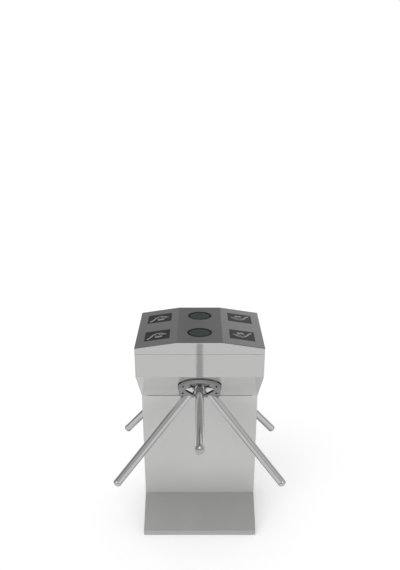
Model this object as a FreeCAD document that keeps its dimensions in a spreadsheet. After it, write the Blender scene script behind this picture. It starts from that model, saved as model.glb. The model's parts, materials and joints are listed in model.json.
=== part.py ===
"""Double tripod turnstile: one cabinet with a three-armed rotor on its front and on its rear face.

Frame: millimetres, +Z up, origin on the floor under the middle of the base plate.
The front face looks along -Y and the rear face along +Y; the rear half is the front half turned
half a turn about Z.
"""
import FreeCAD, Part
import math
import operator
import os

import Sketcher
from FreeCAD import Placement, Rotation, Vector

# Driving dimensions, in millimetres unless the name says otherwise
SIZES = {
    # cabinet outline
    "head_width": 560, "head_depth": 460, "column_step": 7, "column_depth": 96,
    "foot_edge": 25, "foot_rise": 104, "column_top": 676, "undercut_rise": 176, "head_face": 107,
    "sheet": 2, "floor_gap": 1, "fascia_tail": 20, "tail_inset": 3,
    # base plate and its holes
    "base_thick": 10, "base_gap": 0.5, "anchor_radius": 7, "anchor_pitch_x": 400, "anchor_pitch_y": 340,
    "cable_radius": 30,
    # lid
    "seam": 1, "lid_side": 28, "gable_rise": 27, "fold_width": 198, "panel_thick": 3,
    "window_side": 112, "window_x": 187, "window_y": 111, "window_gap": 0.2,
    "ring_radius": 55, "lens_radius": 46, "ring_lip": 0.6, "lens_recess": 0.6,
    "reader_board_side": 90, "board_thick": 6, "indicator_board_radius": 40,
    # lid hinge
    "hinge_length": 400, "hinge_segments": 5, "knuckle_radius": 4, "hinge_pin_radius": 2,
    "hinge_leaf": 24, "hinge_gap": 1, "pin_play": 0.05,
    # lid lock and its catch
    "lock_setback": 80, "lock_depth": 26, "lock_radius": 9, "lock_flange": 13, "lock_flange_thick": 3,
    "lock_length": 24, "plug_radius": 6, "cam_reach": 26, "cam_width": 12, "cam_thick": 3,
    "catch_width": 20, "catch_gap": 10, "catch_thick": 3, "catch_ledge": 4, "catch_drop": 9,
    "catch_reach": 30, "catch_rise": 18, "catch_side_gap": 1,
    # frame inside
    "upright_side": 40, "upright_wall": 3, "upright_rise": 14, "gusset_thick": 6, "gusset_x": 147,
    "gusset_drop": 36, "gusset_waist": 2, "gusset_front_gap": 24, "gusset_rise": 18, "gusset_edge": 4,
    # electronics
    "supply_width": 180, "supply_depth": 55, "supply_height": 110, "supply_z": 180,
    "board_width": 200, "board_height": 150, "board_z": 350, "standoff": 12, "standoff_radius": 4,
    "standoff_inset": 12, "circuit_thick": 2,
    # rotor seat on the sloping underside
    "hub_distance": 118.5, "apex_inset": 27, "hub_gap": 5, "hub_base_front": 10, "hub_front": 17,
    "hub_base_radius": 99, "hub_radius": 94, "hub_sink": 1.5, "bolt_play": 0.1,
    "boss_front": 33, "boss_arm_side": 40, "boss_gap_low": 44, "boss_gap_high": 30, "boss_groove_y": 6,
    "boss_groove_half": 38, "boss_groove_width": 4, "boss_groove_depth": 6,
    "lobe_front": 41, "lobe_low": 21, "lobe_inset": 33, "jaw_inset": 14, "jaw_spread": 14, "jaw_low": 24,
    "slit_inset": 17, "slit_width": 8, "slit_depth": 20,
    "hub_bolt_x": 75, "hub_bolt_y": 24, "hub_bolt_radius": 3, "hub_bolt_head": 5, "hub_bolt_head_thick": 4,
    "hub_bolt_sunk": 0.5, "hub_bolt_head_play": 0.4, "clamp_bolt_rise": 6, "clamp_bolt_length": 16,
    # arms
    "tube_radius": 19, "tube_wall": 2, "arm_reach": 628, "arm_root": 78, "arm_dome": 10,
    "socket_play": 0.05, "pivot_reach": 84, "eye_radius": 14, "ear_radius": 15, "ear_thick": 10,
    "tongue_half": 8, "tongue_half_height": 11, "tube_start": 16, "drop_play": 0.6, "drop_pin_radius": 6,
    "swing_room": 140,
    # rotor bearing and shaft
    "plate_thick": 8, "plate_half_height": 95, "seat_radius": 47, "shaft_flange_radius": 44,
    "shaft_flange_depth": 8, "shaft_radius": 12.45, "shaft_end": 126, "bearing_bore": 12.5,
    "bearing_radius": 25.98, "bearing_width": 15, "bearing_inset": 4, "housing_bore": 26,
    "housing_radius": 32, "housing_flange": 60, "housing_flange_thick": 8, "housing_end": 70,
    # locking disc, pawl and solenoid
    "disc_radius": 60, "disc_near": 80, "disc_far": 88, "disc_hub_radius": 22, "disc_hub_side": 6,
    "notch_width": 16, "notch_depth": 14, "notch_count": 6,
    "pivot_x": 60, "pivot_y": 64, "pivot_radius": 6, "pivot_collar": 9, "pivot_collar_thick": 3.5,
    "pawl_gap": 0.5, "tooth_half": 5, "tooth_tip": 62, "tooth_root": 73, "pawl_back": 86,
    "pawl_belly": 54, "pawl_belly_half": 5, "pawl_step": 12, "pawl_under": 58, "pawl_over": 70,
    "pawl_crown": 76, "pawl_tail": 96, "spring_inner": 6.6, "spring_outer": 9,
    "plunger_x": 90, "plunger_radius": 4, "plunger_low": 20, "plunger_gap": 0.3, "plunger_play": 0.05,
    "solenoid_half": 15, "solenoid_low": 14, "solenoid_high": 48, "solenoid_wall": 4,
    "solenoid_half_depth": 16, "plunger_room": 2,
    # rotary damper and its bridge
    "damper_radius": 36, "damper_near": 98, "damper_far": 124, "damper_play": 0.1, "bridge_half": 86,
    "bridge_half_width": 12, "bridge_thick": 6, "post_x": 78, "post_radius": 6,
    # bolts that hold the mechanism plates
    "tab_length": 27, "tab_half": 15, "tab_thick": 12, "tab_y": 60, "mount_bolt_radius": 4,
    "mount_bolt_play": 0.1, "mount_bolt_head": 6.5, "mount_bolt_head_thick": 6, "mount_bolt_bite": 6,
}
ARM_ANGLES = {"right": 120, "left": -120}
CLAMP_BOLT_ANGLE = 52
BOSS_SIDES = 6
OVERCUT = 1

doc = FreeCAD.newDocument("Turnstile")
sheet = doc.addObject("Spreadsheet::Sheet", "Sizes")
for row, (alias, number) in enumerate(SIZES.items(), start=1):
    sheet.set(f"A{row}", alias)
    sheet.set(f"B{row}", str(number))
    sheet.setAlias(f"B{row}", alias)
doc.recompute()

OPERATIONS = {"+": operator.add, "-": operator.sub, "*": operator.mul, "/": operator.truediv}


class Size:
    """A number that keeps the sheet expression it is worked out from."""

    def __init__(self, text, value):
        self.text = text
        self.value = value

    def __add__(self, other):
        return join(self, "+", other)

    def __radd__(self, other):
        return join(other, "+", self)

    def __sub__(self, other):
        return join(self, "-", other)

    def __rsub__(self, other):
        return join(other, "-", self)

    def __mul__(self, other):
        return join(self, "*", other)

    def __rmul__(self, other):
        return join(other, "*", self)

    def __truediv__(self, other):
        return join(self, "/", other)

    def __neg__(self):
        return join(0, "-", self)


def sized(number):
    """Give a plain number the form of a size."""
    return number if isinstance(number, Size) else Size(repr(number), number)


def join(first, sign, second):
    """Join two sizes by one sign, in the expression and in the value."""
    first, second = sized(first), sized(second)
    text = f"({first.text} {sign} {second.text})"
    return Size(text, OPERATIONS[sign](first.value, second.value))


def root(size):
    """Square root of a size."""
    return Size(f"sqrt({size.text})", math.sqrt(size.value))


class Cells:
    """Reads each size from its cell by its alias."""

    def __getattr__(self, alias):
        return Size(f"Sizes.{alias}", float(sheet.get(alias)))


S = Cells()
nodes = {}

# Sizes that several pieces share
half_width, half_depth = S.head_width / 2, S.head_depth / 2
column_half, column_face = half_width - S.column_step, S.column_depth / 2
setback, drop = half_depth - column_face, S.undercut_rise
head_bottom = S.column_top + S.undercut_rise
head_top = head_bottom + S.head_face
foot_top = S.foot_edge + S.foot_rise
undercut = root(setback * setback + drop * drop)
lid_bottom = head_top + S.seam
lid_corner = lid_bottom + S.lid_side
lid_fold = lid_corner + S.gable_rise
fold_half = S.fold_width / 2
lid_slope = S.gable_rise / (half_width - fold_half)
slope_run = root(1 + lid_slope * lid_slope)
hinge_z = head_top + S.seam / 2
tilt = math.atan2(setback.value, drop.value)
cone = (math.sin(tilt), math.cos(tilt))


def undercut_z(out, inset):
    """Height of a line inset from the sloping underside, at a distance out from the middle."""
    return head_bottom + inset * undercut / setback - (half_depth - out) * drop / setback


def undercut_out(height, inset):
    """Distance from the middle at which that line reaches a height."""
    return half_depth - (head_bottom + inset * undercut / setback - height) * setback / drop


# Frames: the hub frame has its z axis along the rotor axis, outwards, and its y axis up the slope
TURNS = {"front": Placement(), "rear": Placement(Vector(), Rotation(Vector(0, 0, 1), 180))}
share = S.hub_distance.value / undercut.value
hub_centre = Vector(0, share * setback.value - half_depth.value, head_bottom.value - share * drop.value)
hub_frame = Placement(hub_centre, Rotation(Vector(1, 0, 0), 90 + math.degrees(tilt)))
HUBS = {side: turn.multiply(hub_frame) for side, turn in TURNS.items()}
ALONG_X = Rotation(Vector(0, -1, 0), Vector(0, 0, 1), Vector(-1, 0, 0), "ZXY")
ALONG_Y = Rotation(Vector(1, 0, 0), Vector(0, 0, 1), Vector(0, -1, 0), "ZXY")
UPRIGHT = Rotation(Vector(1, 0, 0), 90)
Z_TO_X = Rotation(Vector(0, 1, 0), 90)
Z_TO_Y = Rotation(Vector(1, 0, 0), -90)
HERE = Placement()


def shift(x=0, y=0, z=0, turn=None):
    """A placement at a point, given by sizes or numbers, with an optional rotation."""
    point = Vector(*(sized(value).value for value in (x, y, z)))
    return Placement(point, turn or Rotation())


def keep(label, item):
    """Register an object as the sub-part of that name."""
    item.Label = label
    nodes[label] = item
    return item


def flat_sketch(body, name, offset=None):
    """A sketch on the body's XY plane, raised by an offset where one is given."""
    plane = next(item for item in body.Origin.OriginFeatures if item.Role == "XY_Plane")
    sketch = body.newObject("Sketcher::SketchObject", name)
    sketch.AttachmentSupport = [(plane, "")]
    sketch.MapMode = "FlatFace"
    if offset is not None:
        sketch.setExpression("AttachmentOffset.Base.z", offset.text)
    return sketch


def tie(sketch, kind, geometry, point, size):
    """Hold one coordinate of a sketch point at a size from the sheet."""
    size = sized(size)
    number = sketch.addConstraint(Sketcher.Constraint(kind, -1, 1, geometry, point, float(size.value)))
    sketch.setExpression(f"Constraints[{number}]", size.text)


def draw_outline(sketch, corners, arc_edge=None):
    """A closed outline through corners; arc_edge names the edge that is an arc centred on the y axis."""
    corners = [(sized(x), sized(y)) for x, y in corners]
    flat = [Vector(x.value, y.value, 0) for x, y in corners]
    first, count = sketch.GeometryCount, len(flat)
    for index in range(count):
        start, end = flat[index], flat[(index + 1) % count]
        if index == arc_edge:
            rise = end.y - start.y
            radius = (start.x ** 2 + rise ** 2) / (2 * rise)
            middle = math.atan2(start.y - end.y + radius, start.x) / 2 + math.pi / 4
            crown = Vector(radius * math.cos(middle), end.y - radius + radius * math.sin(middle), 0)
            sketch.addGeometry(Part.Arc(start, crown, end))
            sketch.addConstraint(Sketcher.Constraint("PointOnObject", first + index, 3, -2))
        else:
            sketch.addGeometry(Part.LineSegment(start, end))
    for index in range(count):
        following = first + (index + 1) % count
        sketch.addConstraint(Sketcher.Constraint("Coincident", first + index, 2, following, 1))
        tie(sketch, "DistanceX", first + index, 1, corners[index][0])
        tie(sketch, "DistanceY", first + index, 1, corners[index][1])


def draw_hole(sketch, x, y, radius):
    """A circle tied to the sheet."""
    x, y = sized(x), sized(y)
    circle = sketch.addGeometry(Part.Circle(Vector(x.value, y.value, 0), Vector(0, 0, 1), radius.value))
    tie(sketch, "DistanceX", circle, 3, x)
    tie(sketch, "DistanceY", circle, 3, y)
    number = sketch.addConstraint(Sketcher.Constraint("Radius", circle, radius.value))
    sketch.setExpression(f"Constraints[{number}]", radius.text)


def prism(name, corners, length, place, holes=()):
    """A padded outline, with round holes, in its own frame."""
    body = doc.addObject("PartDesign::Body", name)
    sketch = flat_sketch(body, name + "_outline")
    draw_outline(sketch, corners)
    for hole in holes:
        draw_hole(sketch, *hole)
    pad = body.newObject("PartDesign::Pad", name + "_pad")
    pad.Profile = sketch
    pad.setExpression("Length", sized(length).text)
    body.Placement = place
    return body


def turned(name, profile, place, arc_edge=None):
    """A turned piece from a profile of radius and height, with its axis along the frame's z axis."""
    body = doc.addObject("PartDesign::Body", name)
    sketch = flat_sketch(body, name + "_profile")
    draw_outline(sketch, profile, arc_edge)
    revolve = body.newObject("PartDesign::Revolution", name + "_turn")
    revolve.Profile = sketch
    revolve.ReferenceAxis = (sketch, ["V_Axis"])
    revolve.Angle = 360
    body.Placement = place.multiply(Placement(Vector(), UPRIGHT))
    return body


def block(name, x, y, z, place=HERE):
    """A box between pairs of coordinates in a frame."""
    box = doc.addObject("Part::Box", name)
    for side, (low, high) in zip(("Length", "Width", "Height"), (x, y, z)):
        box.setExpression(side, (sized(high) - low).text)
    box.Placement = place.multiply(shift(x[0], y[0], z[0]))
    return box


def rod(name, radius, low, high, place=HERE):
    """A cylinder along a frame's z axis between two heights."""
    cylinder = doc.addObject("Part::Cylinder", name)
    cylinder.setExpression("Radius", radius.text)
    cylinder.setExpression("Height", (sized(high) - low).text)
    cylinder.Placement = place.multiply(shift(z=low))
    return cylinder


def fuse(name, *pieces):
    """One solid from overlapping or touching pieces."""
    joined = doc.addObject("Part::MultiFuse", name)
    joined.Shapes = list(pieces)
    joined.Refine = True
    return joined


def cut(name, base, *tools):
    """A piece less its cuts."""
    result = doc.addObject("Part::Cut", name)
    result.Base = base
    result.Tool = tools[0] if len(tools) == 1 else fuse(name + "_cuts", *tools)
    return result


def overlap(name, first, second):
    """The volume that two pieces share."""
    shared = doc.addObject("Part::Common", name)
    shared.Base, shared.Tool = first, second
    return shared


def group(name, *pieces):
    """Separate solids that share one node."""
    together = doc.addObject("Part::Compound", name)
    together.Links = list(pieces)
    return together


def mirrored(corners):
    """Complete an outline, given by its right half from bottom to top, with its left half."""
    return list(corners) + [(-sized(x), y) for x, y in reversed(corners)]


def both_signs():
    """The four combinations of two signs."""
    return [(a, b) for a in (-1, 1) for b in (-1, 1)]


def make_base():
    """Floor plate with anchor holes at its corners and a cable entry in the middle."""
    x = column_half - S.sheet - S.base_gap
    y = half_depth - S.sheet - S.base_gap
    holes = [(0, 0, S.cable_radius)]
    for a, b in both_signs():
        holes.append((a * S.anchor_pitch_x / 2, b * S.anchor_pitch_y / 2, S.anchor_radius))
    keep("base_plate", prism("base_plate", mirrored([(x, -y), (x, y)]), S.base_thick, HERE, holes))


def make_foot(side):
    """Sloped foot cover: a shell open below and towards the column."""
    fall = (foot_top - S.foot_edge) / setback
    thick = S.sheet * root(1 + fall * fall)
    wide = column_half - S.sheet
    inner = half_depth - S.sheet
    mouth = column_face - OVERCUT
    outer_line = [(half_depth, S.floor_gap), (half_depth, S.foot_edge), (column_face, foot_top),
                  (column_face, S.floor_gap)]
    inner_line = [(inner, S.floor_gap - OVERCUT), (inner, S.foot_edge + fall * S.sheet - thick),
                  (mouth, foot_top + fall * OVERCUT - thick), (mouth, S.floor_gap - OVERCUT)]
    name = f"{side}_foot_cover"
    turn = TURNS[side]
    whole = prism(name + "_outer", outer_line, column_half * 2,
                  turn.multiply(shift(column_half, turn=ALONG_X)))
    room = prism(name + "_inner", inner_line, wide * 2, turn.multiply(shift(wide, turn=ALONG_X)))
    keep(name, cut(name, whole, room))


def make_column():
    """Four flat panels round the column, and the two uprights inside."""
    for side, turn in TURNS.items():
        name = f"{side}_column_panel"
        keep(name, block(name, (-column_half, column_half), (-column_face, S.sheet - column_face),
                         (S.base_thick, S.column_top), turn))
    edge = column_face - S.sheet
    sides = [block(f"{side}_side", (column_half - S.sheet, column_half), (-edge, edge),
                   (S.floor_gap, S.column_top), turn) for side, turn in TURNS.items()]
    keep("column_sides", group("column_sides", *sides))
    near, far = S.gusset_x + S.gusset_thick, S.gusset_x + S.gusset_thick + S.upright_side
    half = S.upright_side / 2
    upright_top = S.column_top + S.upright_rise
    tubes = []
    for side, turn in TURNS.items():
        whole = block(f"{side}_tube", (near, far), (-half, half), (S.base_thick, upright_top), turn)
        hollow = block(f"{side}_hollow", (near + S.upright_wall, far - S.upright_wall),
                       (S.upright_wall - half, half - S.upright_wall),
                       (S.base_thick - OVERCUT, upright_top + OVERCUT), turn)
        tubes.append(cut(f"{side}_upright", whole, hollow))
    keep("uprights", group("uprights", *tubes))


def hinge_notch(name, low, high):
    """Room for the hinge barrel in the rear edge of the head or of the lid."""
    half = S.hinge_length / 2 + S.hinge_gap
    return block(name, (-half, half), (half_depth - S.sheet - OVERCUT, half_depth + OVERCUT), (low, high))


def make_fascia(side):
    """Upright face and sloping underside folded from one sheet, with the hole for the hub."""
    name = f"{side}_head_fascia"
    turn = TURNS[side]
    inner, back = half_depth - S.sheet, column_face - S.sheet
    deep = back - S.sheet
    tail = S.column_top - S.fascia_tail
    folded = prism(name + "_folded", [
        (half_depth, head_top), (half_depth, head_bottom), (column_face, S.column_top),
        (back, S.column_top), (back, tail), (deep, tail), (deep, undercut_z(deep, S.sheet)),
        (inner, undercut_z(inner, S.sheet)), (inner, head_top),
    ], S.head_width, turn.multiply(shift(half_width, turn=ALONG_X)))
    tail_half = column_half - S.tail_inset
    trim = prism(name + "_trim", mirrored([
        (tail_half, tail), (tail_half, S.column_top), (column_half, S.column_top),
        (half_width, head_bottom), (half_width, head_top),
    ]), S.head_depth, turn.multiply(shift(y=half_depth, turn=ALONG_Y)))
    cuts = [rod(name + "_hole", S.seat_radius, -S.plate_thick, S.plate_thick, HUBS[side])]
    if side == "rear":
        cuts.append(hinge_notch(name + "_notch", hinge_z - S.knuckle_radius - S.hinge_gap, lid_bottom))
    keep(name, cut(name, overlap(name + "_sheet", folded, trim), *cuts))


def make_cheek(label, turn, cuts):
    """Head side between the fascias: upright above, drawn in to the column's width below."""
    inner = half_depth - S.sheet
    low = undercut_out(S.column_top, S.sheet)
    bent = prism(label + "_bent", [
        (column_half, S.column_top), (half_width, head_bottom), (half_width, head_top),
        (half_width - S.sheet, head_top), (half_width - S.sheet, head_bottom),
        (column_half - S.sheet, S.column_top),
    ], inner * 2, turn.multiply(shift(y=inner, turn=ALONG_Y)))
    side = prism(label + "_side", mirrored([
        (low, S.column_top), (inner, undercut_z(inner, S.sheet)), (inner, head_top),
    ]), half_width, turn.multiply(shift(half_width, turn=ALONG_X)))
    sheet_metal = overlap(label + "_sheet", bent, side)
    keep(label, cut(label, sheet_metal, *cuts) if cuts else sheet_metal)


def lid_outline(drop_by, side, bottom):
    """Gable outline a height below the lid's top, with its side walls at a half width."""
    corner = lid_corner + (half_width - side) * lid_slope - drop_by
    return mirrored([(side, bottom), (side, corner), (fold_half, lid_fold - drop_by)])


def slope_place(sign_x, sign_y):
    """Frame on the top surface of a sloping facet, in the middle of a reader window."""
    height = lid_fold - (S.window_x - fold_half) * lid_slope
    lean = Rotation(Vector(0, 1, 0), sign_x * math.degrees(math.atan(lid_slope.value)))
    return shift(sign_x * S.window_x, sign_y * S.window_y, height, lean)


def make_lid():
    """Folded shell with the dark top panel, reader windows and indicators let into it."""
    whole = shift(y=half_depth, turn=ALONG_Y)
    inside = shift(y=half_depth - S.sheet, turn=ALONG_Y)
    panel, skin = S.panel_thick, S.panel_thick + S.sheet
    outer = prism("lid_outer", lid_outline(panel, half_width, lid_bottom), S.head_depth, whole)
    room = prism("lid_room", lid_outline(skin, half_width - S.sheet, lid_bottom - OVERCUT),
                 S.head_depth - S.sheet * 2, inside)
    notch = hinge_notch("lid_notch", head_top, hinge_z + S.knuckle_radius + S.hinge_gap)
    keep("lid_shell", cut("lid_shell", outer, room, notch))

    top = [(fold_half, lid_fold - panel), (half_width, lid_corner - panel), (half_width, lid_corner),
           (fold_half, lid_fold)]
    plain = prism("panel_plain", mirrored(top), S.head_depth, whole)
    half, open_half = S.window_side / 2, S.window_side / 2 + S.window_gap
    window_deep, skin_deep = panel / slope_run, skin / slope_run
    openings, windows, boards = [], [], []
    for a, b in both_signs():
        place = slope_place(a, b)
        mark = f"{'right' if a > 0 else 'left'}_{'rear' if b > 0 else 'front'}"
        openings.append(block(f"{mark}_opening", (-open_half, open_half), (-open_half, open_half),
                              (-window_deep - OVERCUT, sized(OVERCUT)), place))
        windows.append(block(f"{mark}_window", (-half, half), (-half, half),
                             (-window_deep, sized(0)), place))
        edge = S.reader_board_side / 2
        boards.append(block(f"{mark}_reader", (-edge, edge), (-edge, edge),
                            (-skin_deep - S.board_thick, -skin_deep), place))
    rings, lenses, lamps = [], [], []
    seat, under = lid_fold - panel, lid_fold - skin
    for b, mark in ((-1, "front"), (1, "rear")):
        place = shift(y=b * S.window_y)
        openings.append(rod(f"{mark}_round", S.ring_radius + S.window_gap, seat - OVERCUT,
                            lid_fold + OVERCUT, place))
        disc = rod(f"{mark}_disc", S.ring_radius, seat, lid_fold + S.ring_lip, place)
        hole = rod(f"{mark}_bore", S.lens_radius + S.window_gap, seat - OVERCUT,
                   lid_fold + OVERCUT, place)
        rings.append(cut(f"{mark}_ring", disc, hole))
        lenses.append(rod(f"{mark}_lens", S.lens_radius, seat, lid_fold - S.lens_recess, place))
        lamps.append(rod(f"{mark}_lamp", S.indicator_board_radius, under - S.board_thick, under, place))
    keep("lid_top_panel", cut("lid_top_panel", plain, *openings))
    keep("reader_windows", group("reader_windows", *windows))
    keep("reader_boards", group("reader_boards", *boards))
    keep("indicator_rings", group("indicator_rings", *rings))
    keep("indicator_lenses", group("indicator_lenses", *lenses))
    keep("indicator_boards", group("indicator_boards", *lamps))


def make_leaf(label, plate, web, numbers):
    """Hinge leaf with its knuckles, which alternate with those of the other leaf."""
    inner, outer = half_depth - S.sheet * 2, half_depth - S.sheet
    half, step = S.hinge_length / 2, S.hinge_length / S.hinge_segments
    parts = [block(label + "_plate", (-half, half), (inner, outer), plate)]
    along = shift(y=half_depth, z=hinge_z, turn=Z_TO_X)
    for number in numbers:
        low = step * number - half + S.hinge_gap / 2
        high = step * (number + 1) - half - S.hinge_gap / 2
        parts.append(rod(f"{label}_knuckle_{number}", S.knuckle_radius, low, high, along))
        parts.append(block(f"{label}_web_{number}", (low, high), (inner, outer), web))
    bore = rod(label + "_bore", S.hinge_pin_radius + S.pin_play, -half - OVERCUT, half + OVERCUT, along)
    keep(label, cut(label, fuse(label + "_blank", *parts), bore))


def make_hinge():
    """Piano hinge along the rear seam: its axis is on the outer face, so the lid clears the head."""
    reach = S.knuckle_radius + S.hinge_gap
    half = S.hinge_length / 2
    even = range(0, int(S.hinge_segments.value), 2)
    odd = range(1, int(S.hinge_segments.value), 2)
    make_leaf("cabinet_hinge_leaf", (hinge_z - reach - S.hinge_leaf, hinge_z - reach),
              (hinge_z - reach - S.hinge_gap, hinge_z), even)
    make_leaf("lid_hinge_leaf", (hinge_z + reach, lid_corner - S.panel_thick - S.sheet),
              (hinge_z, hinge_z + reach + S.hinge_gap), odd)
    keep("hinge_pin", rod("hinge_pin", S.hinge_pin_radius, -half, half,
                          shift(y=half_depth, z=hinge_z, turn=Z_TO_X)))


def make_lock():
    """Key lock in the right cheek; its cam turns over the ledge of a catch that hangs from the lid."""
    lock_y, lock_z = half_depth - S.lock_setback, head_top - S.lock_depth
    axis = shift(half_width, -lock_y, lock_z, Z_TO_X)
    flange = rod("lock_flange", S.lock_flange, sized(0), S.lock_flange_thick, axis)
    barrel = rod("lock_barrel", S.lock_radius, -S.lock_length, sized(0), axis)
    bore = rod("lock_bore", S.plug_radius + S.pin_play, -S.lock_length - OVERCUT,
               S.lock_flange_thick + OVERCUT, axis)
    keep("lock_housing", cut("lock_housing", fuse("lock_blank", flange, barrel), bore))
    cam_far = -S.lock_length - S.cam_thick - S.hinge_gap
    plug = rod("plug_rod", S.plug_radius, cam_far, S.lock_flange_thick + S.ring_lip, axis)
    half = S.cam_width / 2
    x = half_width - S.lock_length - S.hinge_gap
    cam = block("plug_cam", (x - S.cam_thick, x), (-lock_y - half, half - lock_y),
                (lock_z - half, lock_z + S.cam_reach))
    keep("lock_plug", fuse("lock_plug", plug, cam))
    outer = half_width - S.sheet
    strip_x = outer - S.catch_side_gap
    y_high = -lock_y - half - S.catch_gap
    y = (y_high - S.catch_width, y_high)
    ledge = lock_z - S.catch_drop - S.catch_ledge
    top = lid_bottom + S.catch_rise
    strip = block("catch_strip", (strip_x - S.catch_thick, strip_x), y, (ledge, top))
    pad = block("catch_pad", (strip_x, outer), y, (lid_bottom + S.catch_ledge, top))
    foot = block("catch_foot", (strip_x - S.catch_reach, strip_x), y, (ledge, ledge + S.catch_ledge))
    keep("lid_catch", fuse("lid_catch", strip, pad, foot))
    return rod("lock_hole", S.lock_radius + S.bolt_play, -S.sheet - OVERCUT, sized(OVERCUT), axis)


def tab_range(sign):
    """Span of a gusset tab across the hub frame, on the side of that sign."""
    near = S.gusset_x - S.tab_length
    return (near, S.gusset_x) if sign > 0 else (-S.gusset_x, -near)


def mount_bolt_place(side, a, b):
    """Frame of one bolt that holds a mechanism plate, on the plate's inner face."""
    across = S.gusset_x - S.tab_length / 2
    return HUBS[side].multiply(shift(a * across, b * S.tab_y, -S.sheet - S.plate_thick))


def make_gussets():
    """Plates on the uprights with tabs under the mechanism plates, and the bolts through the tabs."""
    foot = S.upright_side / 2
    low, top = S.column_top - S.gusset_drop, head_bottom + S.gusset_rise
    waist, reach = column_face + S.gusset_waist, half_depth - S.gusset_front_gap
    outline = mirrored([
        (foot, low), (foot, low + foot), (waist, undercut_z(waist, S.gusset_edge)),
        (reach, undercut_z(reach, S.gusset_edge)), (reach, top),
    ])
    near = -S.sheet - S.plate_thick
    gussets, bolts = [], []
    for name, turn, signs in (("right", TURNS["front"], (1, -1)), ("left", TURNS["rear"], (-1, 1))):
        place = turn.multiply(shift(S.gusset_x + S.gusset_thick, turn=ALONG_X))
        parts = [prism(name + "_web", outline, S.gusset_thick, place)]
        holes = []
        for side, a in zip(HUBS, signs):
            for b in (-1, 1):
                mark = f"{name}_{side}_{'low' if b < 0 else 'high'}"
                span = (b * S.tab_y - S.tab_half, b * S.tab_y + S.tab_half)
                parts.append(block(mark + "_tab", tab_range(a), span, (near - S.tab_thick, near), HUBS[side]))
                seat = mount_bolt_place(side, a, b)
                holes.append(rod(mark + "_clear", S.mount_bolt_radius, -S.tab_thick - OVERCUT,
                                 sized(OVERCUT), seat))
                head = rod(mark + "_head", S.mount_bolt_head, -S.tab_thick - S.mount_bolt_head_thick,
                           -S.tab_thick, seat)
                shank = rod(mark + "_shank", S.mount_bolt_radius - S.mount_bolt_play, -S.tab_thick,
                            S.mount_bolt_bite, seat)
                bolts.append(fuse(mark + "_bolt", head, shank))
        gussets.append(cut(name + "_gusset", fuse(name + "_gusset_blank", *parts), *holes))
    keep("gussets", group("gussets", *gussets))
    keep("mechanism_bolts", group("mechanism_bolts", *bolts))


def make_electronics():
    """Power supply and control board on the inner face of the front column panel."""
    wall = S.sheet - column_face
    half = S.supply_width / 2
    keep("power_supply", block("power_supply", (-half, half), (wall, wall + S.supply_depth),
                               (S.supply_z, S.supply_z + S.supply_height)))
    half = S.board_width / 2
    front = wall + S.standoff
    keep("control_board", block("control_board", (-half, half), (front, front + S.circuit_thick),
                                (S.board_z, S.board_z + S.board_height)))
    posts = []
    for a, b in both_signs():
        x = a * (half - S.standoff_inset)
        z = S.board_z + S.board_height / 2 + b * (S.board_height / 2 - S.standoff_inset)
        posts.append(rod(f"post_{len(posts)}", S.standoff_radius, sized(0), S.standoff,
                         shift(x, wall, z, Z_TO_Y)))
    keep("board_standoffs", group("board_standoffs", *posts))


def arm_frame(side, angle):
    """Frame with its z axis along an arm, at the point where the arms' axes meet."""
    turn = math.radians(angle)
    direction = Vector(math.sin(turn) * cone[0], math.cos(turn) * cone[0], cone[1])
    apex = shift(z=-S.apex_inset, turn=Rotation(Vector(0, 0, 1), direction))
    return HUBS[side].multiply(apex)


def arm_profile(start, plug=None):
    """Half section of an arm tube with its domed end; a plug length fills its root."""
    bore = S.tube_radius - S.tube_wall
    shoulder = S.arm_reach - S.arm_dome
    inside = [(0, shoulder - S.tube_wall), (bore, shoulder - S.tube_wall)]
    base = [(bore, start)]
    if plug is not None:
        inside += [(bore, start + plug), (0, start + plug)]
        base = [(0, start)]
    return [(S.tube_radius, start), (S.tube_radius, shoulder), (0, S.arm_reach)] + inside + base


def drop_pivot(side):
    """Frame on the pivot of the drop arm, with its z axis across the rotor."""
    y = S.pivot_reach * cone[0]
    z = S.pivot_reach * cone[1] - S.apex_inset
    return HUBS[side].multiply(shift(0, y, z, Z_TO_X))


def boss_outline(arm_side, gap_side):
    """Six-sided outline whose sides face the arms and the gaps between them in turn."""
    corners = []
    step = math.radians(360 / BOSS_SIDES)
    lean = math.cos(step)
    for number in range(BOSS_SIDES):
        first, second = step * number, step * (number + 1)
        here, there = (arm_side, gap_side) if number % 2 == 0 else (gap_side, arm_side)
        near = (here - there * lean) / (1 - lean ** 2)
        far = (there - here * lean) / (1 - lean ** 2)
        corners.append((near * math.sin(first) + far * math.sin(second),
                        near * math.cos(first) + far * math.cos(second)))
    return corners


def make_boss(name, place):
    """Tapered middle of the hub."""
    body = doc.addObject("PartDesign::Body", name)
    low = flat_sketch(body, name + "_low", S.hub_front - S.hub_sink)
    draw_outline(low, boss_outline(S.boss_arm_side, S.boss_gap_low))
    high = flat_sketch(body, name + "_high", S.boss_front)
    draw_outline(high, boss_outline(S.boss_arm_side, S.boss_gap_high))
    loft = body.newObject("PartDesign::AdditiveLoft", name + "_loft")
    loft.Profile = low
    loft.Sections = [high]
    loft.Ruled = True
    body.Placement = place
    return body


def turned_hub(side, angle):
    """Hub frame turned about the rotor axis, with its y axis towards that angle."""
    return HUBS[side].multiply(Placement(Vector(), Rotation(Vector(0, 0, 1), -angle)))


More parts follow.
